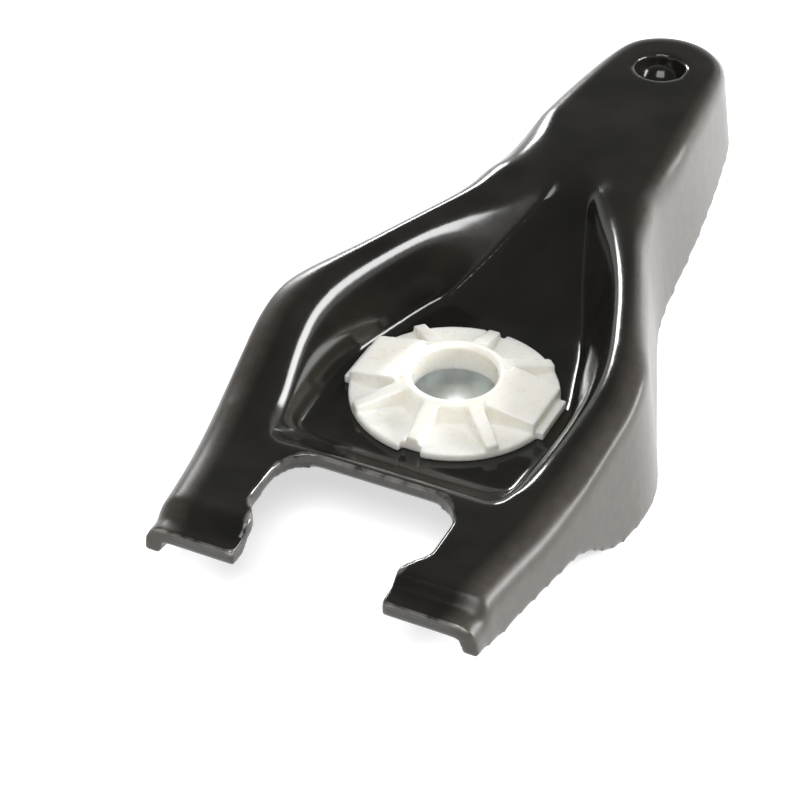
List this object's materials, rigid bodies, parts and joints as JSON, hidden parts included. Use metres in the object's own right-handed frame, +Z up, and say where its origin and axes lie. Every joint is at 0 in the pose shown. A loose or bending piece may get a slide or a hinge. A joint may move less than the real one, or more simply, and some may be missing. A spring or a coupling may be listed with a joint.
{
  "type": "clutch fork",
  "caption": "Pressed steel clutch fork: slotted prongs with bearing pads, a deep dished body with a ribbed nylon ball socket over a steel cup, and a channel arm.",
  "frame": {"origin": "on the pivot axis, halfway up the straight bore of the ball socket", "axes": "+Z up along the pivot axis out of the socket mouth, +Y from the prongs to the end of the arm, +X to the right"},
  "size_m": [0.0904, 0.2014, 0.0308],
  "materials": {
    "black_coat": "gloss",
    "natural_nylon": "satin",
    "plated_steel": "satin"
  },
  "bodies": {
    "root": {"fork_lever": "black_coat", "ball_socket_bush": "natural_nylon", "pivot_cup": "plated_steel"}
  },
  "joints": []
}
